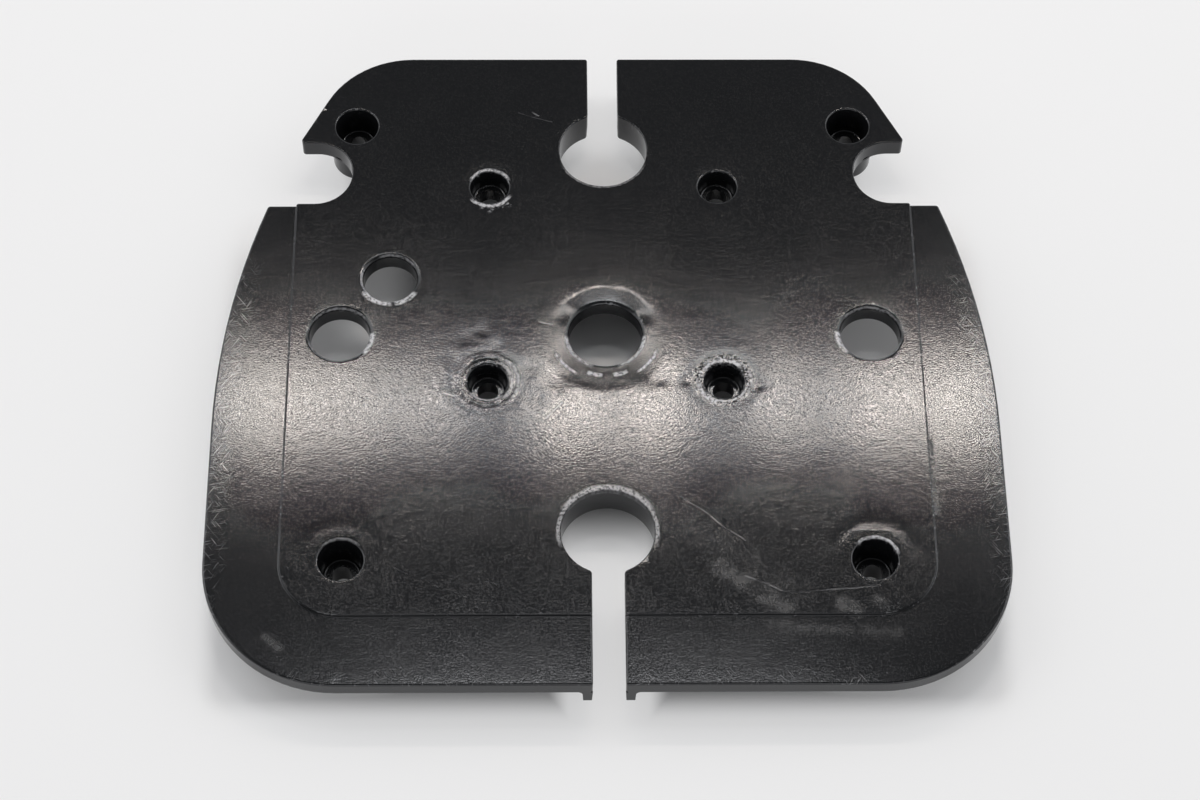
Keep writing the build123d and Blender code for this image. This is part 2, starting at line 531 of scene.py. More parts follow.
# Gives each point of the top its weight in the groups that raise and lower it
def weigh_relief(piece, settings):
    full = settings.relief / MM
    raised = piece.vertex_groups.new(name="raised")
    sunk = piece.vertex_groups.new(name="sunk")
    torn = [0.0] * len(piece.data.vertices)
    edge = [0.0] * len(piece.data.vertices)
    for vertex in piece.data.vertices:
        x, y, z = vertex.co / MM
        hold = smooth_step(PANEL_TOP - RELIEF_ENDS, PANEL_TOP - RELIEF_WHOLE, z)
        if hold == 0.0:
            continue
        parts = (face_relief, rubbed_relief, pushed_relief, torn_relief)
        height = min(sum(part(x, y) for part in parts) * hold, PANEL_TOP - z)
        if height > 0:
            raised.add([vertex.index], min(height / full, 1.0), "REPLACE")
        elif height < 0:
            sunk.add([vertex.index], min(-height / full, 1.0), "REPLACE")
        torn[vertex.index] = torn_share(x, y) * hold
        upright = vertex.normal.z
        ends = smooth_step(*EDGE_ENDS, upright)
        edge[vertex.index] = smooth_step(*EDGE_BEGINS, upright) * (1 - ends)
    for name, values in (("torn", torn), ("edge", edge)):
        piece.data.attributes.new(name, "FLOAT", "POINT")
        piece.data.attributes[name].data.foreach_set("value", values)


def displace(piece, group, strength):
    modifier = piece.modifiers.new(group, "DISPLACE")
    modifier.vertex_group = group
    modifier.direction = "Z"
    modifier.mid_level = 0.0
    modifier.strength = strength
    bpy.ops.object.modifier_apply(modifier=modifier.name)


class BRACKET_OT_plate(bpy.types.Operator):
    """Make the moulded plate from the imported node, with its marks of use"""

    bl_idname = "bracket.plate"
    bl_label = "Moulded Plate"

    def execute(self, context):
        settings = context.scene.bracket_plastic
        mesh = frame["nodes"][PLATE_NODE].data.copy()
        mesh.name = PLATE_NAME
        piece = bpy.data.objects.new(PLATE_NAME, mesh)
        context.scene.collection.objects.link(piece)
        pick(piece)
        bpy.ops.mesh.customdata_custom_splitnormals_clear()
        bpy.ops.object.mode_set(mode="EDIT")
        bpy.ops.mesh.select_mode(type="FACE")
        bpy.ops.mesh.select_all(action="SELECT")
        bpy.ops.mesh.remove_doubles(threshold=MERGE_GAP)
        bpy.ops.object.mode_set(mode="OBJECT")
        cut_top(piece, settings)
        weigh_relief(piece, settings)
        displace(piece, "raised", settings.relief)
        displace(piece, "sunk", -settings.relief)
        piece.vertex_groups.clear()
        bpy.ops.object.shade_smooth_by_angle(angle=math.radians(SHARP_ANGLE))
        weighted = piece.modifiers.new("weighted", "WEIGHTED_NORMAL")
        weighted.mode = "FACE_AREA"
        weighted.weight = FACE_WEIGHT
        weighted.keep_sharp = True
        bpy.ops.object.modifier_apply(modifier=weighted.name)
        mesh.materials.clear()
        mesh.materials.append(plastic_material(settings))
        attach(piece, "root")
        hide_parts(PLATE_NODE)
        return {"FINISHED"}


def feed(tree, socket, value):
    if isinstance(value, bpy.types.NodeSocket):
        tree.links.new(value, socket)
    else:
        socket.default_value = value


def maths(tree, operation, first, second=0.0, clamp=False):
    node = tree.nodes.new("ShaderNodeMath")
    node.operation = operation
    node.use_clamp = clamp
    feed(tree, node.inputs[0], first)
    feed(tree, node.inputs[1], second)
    return node.outputs[0]


def vector_maths(tree, operation, first, second=(0.0, 0.0, 0.0), out=0):
    node = tree.nodes.new("ShaderNodeVectorMath")
    node.operation = operation
    feed(tree, node.inputs[0], first)
    if operation == "SCALE":
        feed(tree, node.inputs["Scale"], second)
    elif operation != "LENGTH":
        feed(tree, node.inputs[1], second)
    return node.outputs[out]


def length_of(tree, vector):
    return vector_maths(tree, "LENGTH", vector, out=1)


def dot(tree, first, second):
    return vector_maths(tree, "DOT_PRODUCT", first, second, out=1)


# Drops a place's height, so that only its place in plan is left
def flattened(tree, place):
    return vector_maths(tree, "MULTIPLY", place, (1.0, 1.0, 0.0))


def split(tree, vector):
    node = tree.nodes.new("ShaderNodeSeparateXYZ")
    feed(tree, node.inputs[0], vector)
    return node.outputs


def ramp(tree, value, low, high, to_low=0.0, to_high=1.0):
    node = tree.nodes.new("ShaderNodeMapRange")
    node.interpolation_type = "SMOOTHSTEP"
    names = ("Value", "From Min", "From Max", "To Min", "To Max")
    for name, amount in zip(names, (value, low, high, to_low, to_high)):
        feed(tree, node.inputs[name], amount)
    return node.outputs["Result"]


# The same, over a span that is given in millimetres
def ramp_over(tree, value, span, to_low=0.0, to_high=1.0):
    return ramp(tree, value, span[0] * MM, span[1] * MM, to_low, to_high)


# The colour sockets of a Mix node come after its number and vector sockets
def blend_colours(tree, share, first, second):
    node = tree.nodes.new("ShaderNodeMix")
    node.data_type = "RGBA"
    feed(tree, node.inputs[0], share)
    feed(tree, node.inputs[6], first)
    feed(tree, node.inputs[7], second)
    return node.outputs[2]


# Noise as a number, or with out=1 as a colour
def noise_at(tree, place, pattern, out=0):
    node = tree.nodes.new("ShaderNodeTexNoise")
    feed(tree, node.inputs["Vector"], place)
    for name, amount in zip(("Scale", "Detail", "Roughness", "Distortion"), pattern):
        node.inputs[name].default_value = amount
    return node.outputs[out]


# Mapping of the texture kind turns the place first and stretches it after
def turned_place(tree, place, angle, scale):
    node = tree.nodes.new("ShaderNodeMapping")
    node.vector_type = "TEXTURE"
    feed(tree, node.inputs["Vector"], place)
    node.inputs["Rotation"].default_value = (0, 0, math.radians(angle))
    node.inputs["Scale"].default_value = scale
    return node.outputs["Vector"]


def attribute(tree, name):
    node = tree.nodes.new("ShaderNodeAttribute")
    node.attribute_type = "GEOMETRY"
    node.attribute_name = name
    return node.outputs["Fac"]


# New node group that takes vectors and numbers and gives a mask, with its inside sockets
def mask_group(name, vectors, numbers):
    tree = bpy.data.node_groups.new(name, "ShaderNodeTree")
    for kind, sockets in (("NodeSocketVector", vectors), ("NodeSocketFloat", numbers)):
        for socket in sockets:
            tree.interface.new_socket(socket, in_out="INPUT", socket_type=kind)
    tree.interface.new_socket("Mask", in_out="OUTPUT", socket_type="NodeSocketFloat")
    inside = tree.nodes.new("NodeGroupInput").outputs
    outside = tree.nodes.new("NodeGroupOutput").inputs
    return tree, inside, outside


# Group that gives 1 on a straight stroke between two points in plan and fades beside it
def stroke_group():
    tree, inside, outside = mask_group(
        "stroke", ("Place", "Start", "End"), ("Width", "Fade", "Strength")
    )
    away = vector_maths(tree, "SUBTRACT", inside["Place"], inside["Start"])
    along = vector_maths(tree, "SUBTRACT", inside["End"], inside["Start"])
    square = dot(tree, along, along)
    reach = maths(tree, "DIVIDE", dot(tree, away, along), square, clamp=True)
    nearest = vector_maths(tree, "SCALE", along, reach)
    gap = length_of(tree, vector_maths(tree, "SUBTRACT", away, nearest))
    outer = maths(tree, "ADD", inside["Width"], inside["Fade"])
    mask = ramp(tree, gap, inside["Width"], outer, 1.0, 0.0)
    feed(tree, outside["Mask"], maths(tree, "MULTIPLY", mask, inside["Strength"]))
    return tree


# Share of an arc's half width over which it has its full strength
ARC_CORE = 0.35


# Group that gives 1 on a round line of a radius, over the part that faces one way
def arc_group():
    tree, inside, outside = mask_group(
        "arc", ("Place", "Centre", "Toward"), ("Radius", "Width", "Share", "Strength")
    )
    away = vector_maths(tree, "SUBTRACT", inside["Place"], inside["Centre"])
    off_line = maths(tree, "SUBTRACT", length_of(tree, away), inside["Radius"])
    core = maths(tree, "MULTIPLY", inside["Width"], ARC_CORE)
    line = ramp(tree, maths(tree, "ABSOLUTE", off_line), core, inside["Width"], 1.0, 0.0)
    facing = dot(tree, vector_maths(tree, "NORMALIZE", away), inside["Toward"])
    halfway = maths(tree, "ADD", 0.5, maths(tree, "MULTIPLY", inside["Share"], 0.5))
    part = ramp(tree, facing, inside["Share"], halfway)
    mask = maths(tree, "MULTIPLY", line, part)
    feed(tree, outside["Mask"], maths(tree, "MULTIPLY", mask, inside["Strength"]))
    return tree


# Thin scratches: start, end, half width and strength, in millimetres
SCRATCHES = [
    ((22.5, -47.0), (29.7, -53.0), 0.06, 0.30),
    ((15.9, -41.8), (22.0, -46.6), 0.05, 0.15),
    ((29.4, -61.5), (38.9, -65.6), 0.08, 0.22),
    ((38.9, -65.6), (51.7, -64.7), 0.08, 0.20),
    ((51.7, -64.7), (58.2, -64.0), 0.08, 0.18),
    ((-14.6, 3.2), (-12.1, 2.4), 0.08, 0.45),
    ((-16.5, 61.5), (-15.0, 60.6), 0.10, 0.35),
    ((-19.9, 61.2), (-11.8, 58.9), 0.06, 0.10),
    ((-46.0, -59.5), (-30.0, -66.5), 0.05, 0.05),
    ((-36.0, -58.0), (-20.0, -65.0), 0.05, 0.04),
    ((-13.4, -22.2), (-9.7, -18.1), 0.10, 0.12),
    ((-35.9, -15.7), (-33.8, -16.3), 0.10, 0.3),
]
SCRATCH_FADE = 0.12

# Broad pale smears: start, end, half width, fade and strength, in millimetres
SMEARS = [
    ((24.5, -59.3), (37.2, -69.0), 0.8, 2.8, 0.42),
    ((2.5, -27.0), (16.0, -46.0), 1.0, 6.5, 0.14),
    ((16.0, -46.0), (40.0, -66.5), 0.8, 5.5, 0.14),
    ((50.2, -68.3), (52.8, -69.4), 0.5, 2.2, 0.60),
    ((57.2, -67.6), (58.8, -68.3), 0.3, 1.9, 0.50),
    ((35.0, -73.0), (48.0, -73.9), 0.0, 2.4, 0.28),
    ((50.0, -73.9), (61.5, -74.9), 0.0, 2.6, 0.26),
    ((-73.0, -75.2), (-69.8, -78.0), 0.2, 1.4, 0.45),
]

# Roughened line beside the panel's right step: start, end, half width, fade and strength
ROUGHENED = [((71.4, -27.0), (71.6, -46.0), 0.0, 1.0, 0.35)]

# Painted highlights: bright glints put into the colour along hole rims, rings and the dish's
# edge, in place of light caught there: centre, way they face, radius, half width, least facing
# and strength
GLINT_ARCS = [
    (SHAFT_HOLE, (-0.75, -0.66), 12.3, 0.45, 0.95, 0.9),
    (SHAFT_HOLE, (0.78, -0.62), 12.3, 0.45, 0.95, 0.9),
    (SHAFT_HOLE, (-0.80, -0.60), 8.8, 0.6, 0.80, 0.9),
    (SHAFT_HOLE, (0.80, -0.60), 8.8, 0.6, 0.80, 0.9),
    (SHAFT_HOLE, (-0.22, -0.97), 11.0, 0.7, 0.985, 0.8),
    (SHAFT_HOLE, (0.30, -0.95), 11.0, 0.7, 0.985, 0.8),
    (INDEX_HOLE, (-0.45, -0.89), 6.8, 1.0, 0.82, 1.0),
    (INDEX_HOLE, (0.55, -0.84), 6.8, 1.0, 0.90, 1.0),
    (INDEX_HOLE, (-0.90, -0.30), 6.5, 0.4, 0.80, 0.6),
    (INDEX_HOLE, (0.30, 0.95), 6.4, 0.3, 0.70, 0.3),
    (SIDE_HOLES["left"], (0.94, -0.34), 7.3, 0.9, 0.90, 1.0),
    (SIDE_HOLES["left"], (0.0, -1.0), 7.0, 0.4, 0.10, 0.4),
    (SIDE_HOLES["left"], (0.0, 1.0), 7.0, 0.3, 0.50, 0.3),
    (SIDE_HOLES["right"], (-0.94, -0.34), 7.3, 1.0, 0.90, 1.0),
    (SIDE_HOLES["right"], (0.0, -1.0), 7.0, 0.4, 0.10, 0.4),
    (SIDE_HOLES["right"], (0.0, 1.0), 7.0, 0.3, 0.50, 0.3),
    (KEYHOLES["front"], (0.0, 1.0), 10.9, 1.0, 0.35, 0.45),
    (KEYHOLES["front"], (-0.75, 0.66), 10.8, 0.6, 0.40, 0.5),
    (KEYHOLES["front"], (0.75, 0.66), 10.8, 0.6, 0.40, 0.5),
    (KEYHOLES["back"], (0.0, -1.0), 10.5, 0.4, 0.30, 0.3),
    (FEET["low_right"], (0.25, 0.97), 5.3, 0.5, 0.40, 0.8),
    (FEET["low_left"], (0.0, 1.0), 5.3, 0.4, 0.60, 0.2),
    (MOTOR_SCREWS["high_left"], (0.0, 1.0), 4.9, 0.5, 0.30, 0.7),
    (MOTOR_SCREWS["high_left"], (0.1, -1.0), 5.3, 0.6, 0.45, 0.9),
    (MOTOR_SCREWS["low_left"], (-0.1, -1.0), 4.85, 0.3, 0.60, 0.8),
    (MOTOR_SCREWS["low_left"], (0.95, 0.1), 5.5, 0.5, 0.40, 0.45),
    (MOTOR_SCREWS["low_left"], (0.95, 0.1), 6.9, 0.5, 0.60, 0.35),
    (MOTOR_SCREWS["low_right"], (-0.1, 0.99), 5.3, 0.6, 0.50, 1.0),
    (MOTOR_SCREWS["low_right"], (0.99, -0.1), 6.1, 0.5, 0.75, 0.5),
    (MOTOR_SCREWS["low_right"], (-0.75, -0.66), 5.8, 0.7, 0.80, 1.0),
    (MOTOR_SCREWS["low_right"], (0.1, -0.99), 5.3, 0.4, 0.40, 0.8),
]

# Noise of the material: scale in waves a metre, detail, roughness and distortion
GRAIN = (2600.0, 1.0, 0.6, 0.0)
DIMPLES = (380.0, 1.0, 0.5, 0.0)
CLOUDS = (70.0, 2.0, 0.55, 0.4)
STREAKS = (4600.0, 1.0, 0.4, 0.0)
TORN_SPECKS = (1500.0, 3.0, 0.6, 0.0)
NICKS = (900.0, 2.0, 0.6, 0.0)
SCRATCH_PATCHES = (300.0, 2.0, 0.6, 0.0)
SMEAR_PATCHES = (300.0, 3.0, 0.6, 0.0)
RAGGEDNESS = (700.0, 3.0, 0.5, 0.0)
BENDS = (130.0, 1.0, 0.5, 0.0)

# How noise breaks up the marks: where they are weakest and strongest, and how strong there
STREAK_BREAKS = (0.66, 0.76, 0.0, 1.0)
SCRATCH_BREAKS = (0.35, 0.65, 0.1, 0.8)
SMEAR_BREAKS = (0.36, 0.62, 0.3, 1.0)
ARC_BREAKS = (0.36, 0.56, 0.2, 1.0)
ROUGHENED_BREAKS = (0.4, 0.6, 0.1, 1.0)
TORN_BREAKS = (0.52, 0.6, 0.0, 1.0)
NICK_BREAKS = (0.60, 0.70, 0.0, 1.0)
FRONT_BREAKS = (0.48, 0.56, 0.1, 0.7)
GRAIN_BREAKS = (0.40, 0.66, 0.0, 1.0)

# How far the marks stray from their drawn lines, in metres, and the way that scratches bend
STRAY = 0.0012
ARC_STRAY = 0.5
BEND = 0.0014
BEND_WAY = (0.4, 1.0, 0.0)

# Fine scratches: turn in degrees and shift of each layer in metres, and how drawn out they are
HATCH_LAYERS = [(58.0, 0.0), (-52.0, 0.3), (12.0, 0.6)]
HATCH_STRETCH = (22.0, 1.0, 1.0)

# Strength of the fine scratches on the panel and on the worn rim
HATCH_STRENGTH = (0.003, 0.34)

# Where the rim is worn, in millimetres: in from the side, at its front and back ends, in front
SIDE_WEAR = (7.0, 1.5)
SIDE_WEAR_FRONT = (-78.0, -50.0)
SIDE_WEAR_BACK = (26.0, 8.0)
SIDE_WEAR_LEAST = 0.12
FRONT_WEAR = (-81.5, -85.5)

# Levels between which the marks of the upper face begin to show, in millimetres
MARKED_LEVELS = (11.2, 11.7)

# Distance from the shaft between which the rubbed face ends and is whole, in millimetres
RUBBED_RING = (16.5, 12.0)

# How pale a smear is, its share over the clean colour, and the share of a mark's worn colour
HAZE = 0.06
HAZE_SHARE = 0.45
WORN_SHARE = 0.8
NICK_SHARE = 0.25

# Roughness that the clouds take off and add, and that each kind of wear adds
CLOUD_SPAN = (0.3, 0.7)
CLOUD_SMOOTHER = 0.006
CLOUD_ROUGHER = 0.01
RUBBED_ROUGHNESS = 0.05
SMEAR_ROUGHNESS = 0.2
MARK_ROUGHNESS = 0.25

# Height of the grain in metres, and share of it that the dimples have
GRAIN_HEIGHT = 0.000013
DIMPLE_SHARE = 0.8

PLASTIC_IOR = 1.5
GLOSS_TINT = (0.96, 0.97, 1.0, 1.0)


# Strongest of many masks at each place
def strongest(tree, masks):
    total = masks[0]
    for mask in masks[1:]:
        total = maths(tree, "MAXIMUM", total, mask)
    return total


def in_plan(point):
    return (point[0] * MM, point[1] * MM, 0)


def mask_from(tree, group, place, values):
    node = tree.nodes.new("ShaderNodeGroup")
    node.node_tree = group
    feed(tree, node.inputs["Place"], place)
    for name, value in values.items():
        node.inputs[name].default_value = value
    return node.outputs["Mask"]


def stroke_masks(tree, group, place, marks):
    masks = []
    for start, end, width, fade, strength in marks:
        values = {"Start": in_plan(start), "End": in_plan(end)}
        values.update({"Width": width * MM, "Fade": fade * MM, "Strength": strength})
        masks.append(mask_from(tree, group, place, values))
    return strongest(tree, masks)


def arc_masks(tree, group, place, marks):
    masks = []
    for centre, toward, radius, width, share, strength in marks:
        way = Vector((*toward, 0.0)).normalized()
        values = {"Centre": in_plan(centre), "Toward": way, "Radius": radius * MM}
        values.update({"Width": width * MM, "Share": share, "Strength": strength})
        masks.append(mask_from(tree, group, place, values))
    return strongest(tree, masks)


# Many short fine scratches in three directions
def hatching(tree, plan):
    layers = []
    for turn, shift in HATCH_LAYERS:
        moved = vector_maths(tree, "ADD", plan, (shift, 0.0, 0.0))
        streaks = noise_at(tree, turned_place(tree, moved, turn, HATCH_STRETCH), STREAKS)
        layers.append(ramp(tree, streaks, *STREAK_BREAKS))
    return strongest(tree, layers)


# How worn the rim is: along its curved sides, less toward the back, and in spots in front
def rim_wear(tree, across, along, cloud):
    past_start = maths(tree, "SUBTRACT", along, FLANK_START * MM)
    squared = maths(tree, "POWER", maths(tree, "MAXIMUM", past_start, 0.0), 2.0)
    drawn_in = maths(tree, "DIVIDE", squared, 2 * FLANK_RADIUS * MM)
    flank = maths(tree, "SUBTRACT", HALF_WIDTH * MM, drawn_in)
    side_gap = maths(tree, "SUBTRACT", flank, maths(tree, "ABSOLUTE", across))
    in_front = ramp_over(tree, along, SIDE_WEAR_FRONT)
    side = maths(tree, "MULTIPLY", ramp_over(tree, side_gap, SIDE_WEAR), in_front)
    at_back = ramp_over(tree, along, SIDE_WEAR_BACK, SIDE_WEAR_LEAST, 1.0)
    side = maths(tree, "MULTIPLY", side, at_back)
    spots = ramp(tree, cloud, *FRONT_BREAKS)
    front = maths(tree, "MULTIPLY", ramp_over(tree, along, FRONT_WEAR), spots)
    return maths(tree, "MAXIMUM", side, front)


# Place in plan that strays both ways, for ragged marks
def strayed(tree, plan, shift):
    return flattened(tree, vector_maths(tree, "ADD", plan, shift))


# Place in plan that wanders slowly one way, for scratches
def bent_place(tree, plan):
    swing = maths(tree, "SUBTRACT", noise_at(tree, plan, BENDS), 0.5)
    swing = maths(tree, "MULTIPLY", swing, BEND)
    return vector_maths(tree, "ADD", plan, vector_maths(tree, "SCALE", BEND_WAY, swing))


def plastic_material(settings):
    stroke = stroke_group()
    arc = arc_group()
    material = bpy.data.materials.new("worn_black_plastic")
    material.use_nodes = True
    tree = material.node_tree
    shader = tree.nodes["Principled BSDF"]
    place = tree.nodes.new("ShaderNodeTexCoord").outputs["Object"]
    plan = flattened(tree, place)
    across, along, height = split(tree, place)
    level = ramp_over(tree, height, MARKED_LEVELS)

    # Fine grain, small dimples, slow clouds and specks of the moulded face
    grain = noise_at(tree, place, GRAIN)
    dimples = noise_at(tree, place, DIMPLES)
    cloud = noise_at(tree, place, CLOUDS)
    specks = noise_at(tree, place, TORN_SPECKS)

    # Fine scratches, thick on the rim
    hatched = maths(tree, "MULTIPLY", hatching(tree, plan), level)
    wear = rim_wear(tree, across, along, cloud)
    hatched = maths(tree, "MULTIPLY", hatched, ramp(tree, wear, 0.0, 1.0, *HATCH_STRENGTH))

    # Marks that were made one by one, with ragged edges: scratches and smears of wear, and
    # painted highlights, bright glints along hole rims and rings
    raggedness = noise_at(tree, plan, RAGGEDNESS, out=1)
    shift = vector_maths(tree, "SUBTRACT", raggedness, (0.5, 0.5, 0.5))
    shift = vector_maths(tree, "SCALE", shift, STRAY)
    ragged = strayed(tree, plan, shift)
    lines = [(start, end, width, SCRATCH_FADE, much) for start, end, width, much in SCRATCHES]
    scratches = stroke_masks(tree, stroke, bent_place(tree, plan), lines)
    patches = ramp(tree, noise_at(tree, plan, SCRATCH_PATCHES), *SCRATCH_BREAKS)
    scratches = maths(tree, "MULTIPLY", scratches, patches)
    smears = stroke_masks(tree, stroke, ragged, SMEARS)
    patches = ramp(tree, noise_at(tree, plan, SMEAR_PATCHES), *SMEAR_BREAKS)
    smears = maths(tree, "MULTIPLY", maths(tree, "MULTIPLY", smears, patches), level)
    # Painted highlights: bright glints along hole rims and rings, put into the colour in place of
    # light caught on their edges
    nearly_true = strayed(tree, plan, vector_maths(tree, "SCALE", shift, ARC_STRAY))
    painted_glints = arc_masks(tree, arc, nearly_true, GLINT_ARCS)
    painted_glints = maths(tree, "MULTIPLY", painted_glints, ramp(tree, specks, *ARC_BREAKS))
    scratches_and_glints = maths(tree, "MULTIPLY", maths(tree, "MAXIMUM", scratches, painted_glints), level)

    # Torn plastic and nicked edges, from the mesh
    torn = ramp(tree, specks, *TORN_BREAKS)
    torn = maths(tree, "MULTIPLY", attribute(tree, "torn"), torn)
    nicks = ramp(tree, noise_at(tree, place, NICKS), *NICK_BREAKS)
    nicks = maths(tree, "MULTIPLY", attribute(tree, "edge"), nicks)
    nicks = maths(tree, "MULTIPLY", nicks, NICK_SHARE)
    # The marks hold the wear and also the painted glints along the rims
    marks = strongest(tree, [hatched, torn, nicks, scratches_and_glints])

    # The worn colour paints the wear and the painted glints alike, over the clean and hazy
    # colours
    clean = (*settings.colour, 1.0)
    hazy = [(1 - HAZE_SHARE) * part + HAZE_SHARE * HAZE for part in settings.colour]
    colour = blend_colours(tree, smears, clean, (*hazy, 1.0))
    wear_and_glint_share = maths(tree, "MULTIPLY", marks, WORN_SHARE)
    colour = blend_colours(tree, wear_and_glint_share, colour, (*settings.wear_and_glint_colour, 1.0))
    feed(tree, shader.inputs["Base Color"], colour)

    smoothest = settings.roughness - CLOUD_SMOOTHER
    roughest = settings.roughness + CLOUD_ROUGHER
    rough = ramp(tree, cloud, *CLOUD_SPAN, smoothest, roughest)
    raised = ramp(tree, grain, *GRAIN_BREAKS)
    rubbed = ramp_over(tree, length_of(tree, plan), RUBBED_RING, 0.0, RUBBED_ROUGHNESS)
    roughened = stroke_masks(tree, stroke, ragged, ROUGHENED)
    for amount, share in (
        (raised, settings.grain_roughness),
        (rubbed, level),
        (roughened, ramp(tree, specks, *ROUGHENED_BREAKS)),
        (smears, SMEAR_ROUGHNESS),
        (marks, MARK_ROUGHNESS),
    ):
        rough = maths(tree, "ADD", rough, maths(tree, "MULTIPLY", amount, share))
    feed(tree, shader.inputs["Roughness"], rough)

    bump = tree.nodes.new("ShaderNodeBump")
    bump.inputs["Strength"].default_value = 1.0
    bump.inputs["Distance"].default_value = GRAIN_HEIGHT
    relief = maths(tree, "ADD", grain, maths(tree, "MULTIPLY", dimples, DIMPLE_SHARE))
    feed(tree, bump.inputs["Height"], relief)
    feed(tree, shader.inputs["Normal"], bump.outputs["Normal"])
    shader.inputs["IOR"].default_value = PLASTIC_IOR
    shader.inputs["Specular Tint"].default_value = GLOSS_TINT
    return material


WHITE = (1.0, 1.0, 1.0)
WARM = (1.0, 0.87, 0.75)
COOL = (0.90, 0.96, 1.0)

# Long diffuser behind and above the plate: place, size and power, in metres and watts
DIFFUSER_PLACE = (0.009, 0.276, 0.5)
DIFFUSER_SIZE = (0.42, 0.018)
DIFFUSER_POWER = 0.26

# Brighter tubes just in front of it: place across and share of the power
TUBES = [
    (-0.144, 0.010),
    (-0.1295, 0.009),
    (-0.117, 0.011),
    (-0.0941, 0.013),
    (-0.063, 0.011),
    (-0.007, 0.022),
    (0.0283, 0.024),
    (0.0804, 0.015),
    (0.1199, 0.019),
    (0.1472, 0.014),
    (0.162, 0.014),
]
TUBE_BACK = 0.275
TUBE_HEIGHT = 0.499
TUBE_SIZE = (0.007, 0.022)
TUBE_POWER = 3.0

# How far behind the shaft hole the diffuser and its tubes point, in metres
STRIP_AIM = 0.1

# Large soft lamps that point at the shaft hole: place, size and power, in metres and watts
SOFTBOXES = {
    "left_softbox": ((-1.0, 0.1, 0.6), (1.0, 0.8), 2.8),
    "right_softbox": ((1.0, 0.1, 0.6), (1.0, 0.8), 2.8),
    "back_left_softbox": ((-0.62, 0.50, 0.92), (0.7, 0.5), 2.4),
    "back_right_softbox": ((0.62, 0.50, 0.92), (0.7, 0.5), 2.4),
    "top_softbox": ((0.0, 0.35, 1.148), (0.3, 0.12), 1.2),
    "front_softbox": ((0.0, -1.1, 0.48), (1.4, 0.4), 3.7),
}

# Camera that was fitted to the photo: place in metres, turn in degrees, lens in millimetres
CAMERA_PLACE = (-0.01159, -0.36235, 0.58426)
CAMERA_TURN = (31.1135, -0.6808, -0.5708)
CAMERA_SENSOR = 36.0
CAMERA_LENS = 90.346
CAMERA_NEAREST = 0.01


def area_lamp(name, place, aim, size, power, colour=WHITE):
    bpy.ops.object.light_add(type="AREA", location=place)
    lamp = bpy.context.object
    lamp.name = name
    lamp.data.shape = "RECTANGLE"
    lamp.data.size, lamp.data.size_y = size
    lamp.data.energy = power
    lamp.data.color = colour
    way = Vector(aim) - Vector(place)
    lamp.rotation_euler = way.to_track_quat("-Z", "Y").to_euler()


class BRACKET_OT_stage(bpy.types.Operator):
    """Set the floor, the lamps and the camera"""

    bl_idname = "bracket.stage"
    bl_label = "Floor, Lamps and Camera"

    def execute(self, context):
        settings = context.scene.bracket_stage
        scene = context.scene
        deselect()
        bpy.ops.mesh.primitive_plane_add(size=settings.floor_size, location=(0, 0, cad_low.z))
        floor = context.object
        floor.name = "floor_sheet"
        floor.data.materials.append(floor_material(settings))
        light_room(scene, settings)

        aim = (DIFFUSER_PLACE[0], STRIP_AIM, 0)
        area_lamp("diffuser", DIFFUSER_PLACE, aim, DIFFUSER_SIZE, DIFFUSER_POWER, COOL)
        for number, (x, share) in enumerate(TUBES):
            place, aim = (x, TUBE_BACK, TUBE_HEIGHT), (x, STRIP_AIM, 0)
            area_lamp(f"tube_{number}", place, aim, TUBE_SIZE, TUBE_POWER * share, WARM)
        for name, (place, size, power) in SOFTBOXES.items():
            area_lamp(name, place, (0, 0, 0), size, power)

        turn = [math.radians(angle) for angle in CAMERA_TURN]
        bpy.ops.object.camera_add(location=CAMERA_PLACE, rotation=turn)
        camera = context.object
        camera.data.sensor_width = CAMERA_SENSOR
        camera.data.lens = CAMERA_LENS
        camera.data.clip_start = CAMERA_NEAREST
        scene.camera = camera
        scene.view_settings.view_transform = "Standard"
        return {"FINISHED"}


# Boxes in plan, wide and narrow, where the floor keeps its full shadow, in millimetres
FOOTPRINTS = [((-82, -82), (82, 36)), ((-54, 36), (54, 74))]

# Where painted light brightens the floor under the slots, in place of light falling through them,
# in millimetres
SLOT_SIDES = (8, 14)
FRONT_SLOT = (-37, -53)
BACK_SLOT = (46, 64)

# Where painted light brightens the floor a little under the side holes, in millimetres, and the
# share there
SIDE_HOLE_SPAN = (40, 52)
SIDE_HOLE_PAINTED_LIGHT = 0.10

FLOOR_ROUGHNESS = 0.9


# Distance from a box in plan, and 0 inside it
def gap_from_box(tree, place, low, high):
    middle = [(a + b) / 2 * MM for a, b in zip(low, high)]
    half = [(b - a) / 2 * MM for a, b in zip(low, high)]
    away = vector_maths(tree, "SUBTRACT", place, (*middle, 0.0))
    away = vector_maths(tree, "ABSOLUTE", away)
    beyond = vector_maths(tree, "SUBTRACT", away, (*half, 0.0))
    return length_of(tree, vector_maths(tree, "MAXIMUM", beyond, (0.0, 0.0, 0.0)))


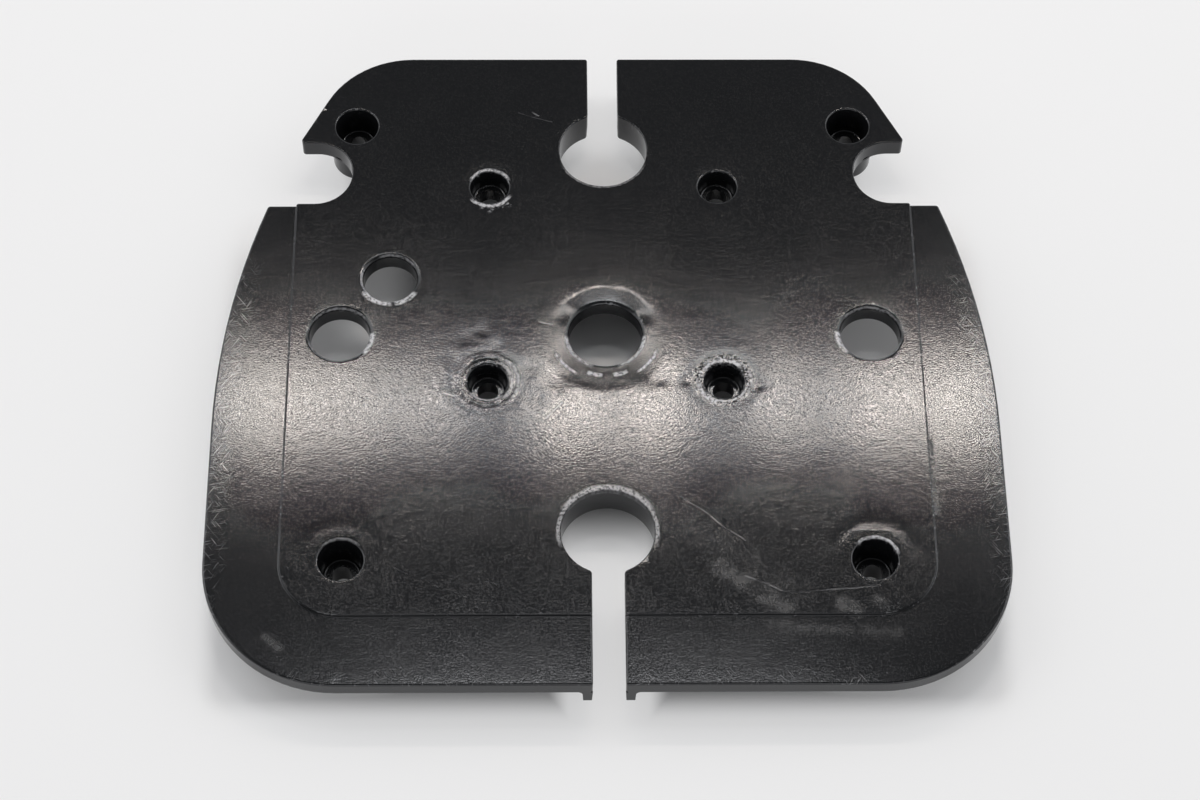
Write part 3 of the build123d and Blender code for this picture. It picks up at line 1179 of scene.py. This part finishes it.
# Share of the floor's own colour that shows, which leaves the shadow near the plate, with painted
# light put on the floor under the slots and side holes
def plain_and_painted_light_share(tree, place, settings):
    most = settings.floor_lift
    gap = maths(tree, "MINIMUM", *[gap_from_box(tree, place, *box) for box in FOOTPRINTS])
    outside = ramp(tree, gap, 0.0, settings.shadow_reach, 0.0, most)
    across, along, _ = split(tree, place)
    beside = maths(tree, "ABSOLUTE", across)
    # Painted light: the floor under the slots and side holes is brightened where the plate's
    # shadow would lie
    near_slots = ramp_over(tree, beside, SLOT_SIDES, 1.0, 0.0)
    front_slot = ramp_over(tree, along, FRONT_SLOT, 0.0, most)
    back_slot = ramp_over(tree, along, BACK_SLOT, 0.0, most)
    either_slot = maths(tree, "MAXIMUM", front_slot, back_slot)
    painted_light_in_slots = maths(tree, "MULTIPLY", near_slots, either_slot)
    painted_light_in_side_holes = ramp_over(tree, beside, SIDE_HOLE_SPAN, 0.0, SIDE_HOLE_PAINTED_LIGHT)
    return strongest(tree, [outside, painted_light_in_slots, painted_light_in_side_holes])


# Pale sheet that keeps the shadow near the plate and shows its own colour further out, with
# painted light under the slots and side holes
def floor_material(settings):
    material = bpy.data.materials.new("floor_sheet")
    material.use_nodes = True
    tree = material.node_tree
    colour = (*settings.floor_colour, 1.0)
    shader = tree.nodes["Principled BSDF"]
    shader.inputs["Base Color"].default_value = colour
    shader.inputs["Roughness"].default_value = FLOOR_ROUGHNESS
    shader.inputs["Specular IOR Level"].default_value = 0.0
    plain = tree.nodes.new("ShaderNodeEmission")
    plain.inputs["Color"].default_value = colour
    place = tree.nodes.new("ShaderNodeTexCoord").outputs["Object"]
    rays = tree.nodes.new("ShaderNodeLightPath").outputs
    kinds = ("Is Camera Ray", "Is Glossy Ray", "Is Transmission Ray")
    seen = strongest(tree, [rays[kind] for kind in kinds])
    both = tree.nodes.new("ShaderNodeMixShader")
    share = maths(tree, "MULTIPLY", plain_and_painted_light_share(tree, place, settings), seen)
    feed(tree, both.inputs[0], share)
    tree.links.new(shader.outputs[0], both.inputs[1])
    tree.links.new(plain.outputs[0], both.inputs[2])
    tree.links.new(both.outputs[0], tree.nodes["Material Output"].inputs["Surface"])
    return material


# Colour of the room, the way toward its dark part, and where the bright part ends
ROOM_COLOUR = (0.97, 0.98, 1.0, 1.0)
ROOM_DARK_WAY = (0.0, -0.3, 0.954)
ROOM_FADE = (0.2, 0.58)


# Room that is bright near the horizon and darker above and behind the camera
def light_room(scene, settings):
    world = scene.world or bpy.data.worlds.new("room")
    scene.world = world
    world.use_nodes = True
    tree = world.node_tree
    background = tree.nodes["Background"]
    background.inputs["Color"].default_value = ROOM_COLOUR
    way = tree.nodes.new("ShaderNodeTexCoord").outputs["Generated"]
    height = dot(tree, way, ROOM_DARK_WAY)
    strength = ramp(tree, height, *ROOM_FADE, settings.low_light, settings.high_light)
    feed(tree, background.inputs["Strength"], strength)


class BRACKET_PT_panel(bpy.types.Panel):
    """List the bracket and its stage in the sidebar"""

    bl_label = "Motor Mounting Bracket"
    bl_idname = "BRACKET_PT_panel"
    bl_space_type = "VIEW_3D"
    bl_region_type = "UI"
    bl_category = "Bracket"

    def draw(self, context):
        layout = self.layout
        layout.operator("bracket.plate")
        layout.operator("bracket.stage")


CLASSES = (PlasticSettings, StageSettings, BRACKET_OT_plate, BRACKET_OT_stage, BRACKET_PT_panel)


def register():
    for cls in CLASSES:
        bpy.utils.register_class(cls)
    bpy.types.Scene.bracket_plastic = PointerProperty(type=PlasticSettings)
    bpy.types.Scene.bracket_stage = PointerProperty(type=StageSettings)


def unregister():
    del bpy.types.Scene.bracket_stage
    del bpy.types.Scene.bracket_plastic
    for cls in reversed(CLASSES):
        bpy.utils.unregister_class(cls)


def main():
    register()
    bpy.ops.bracket.plate()
    bpy.ops.bracket.stage()


if __name__ == "__main__":
    main()
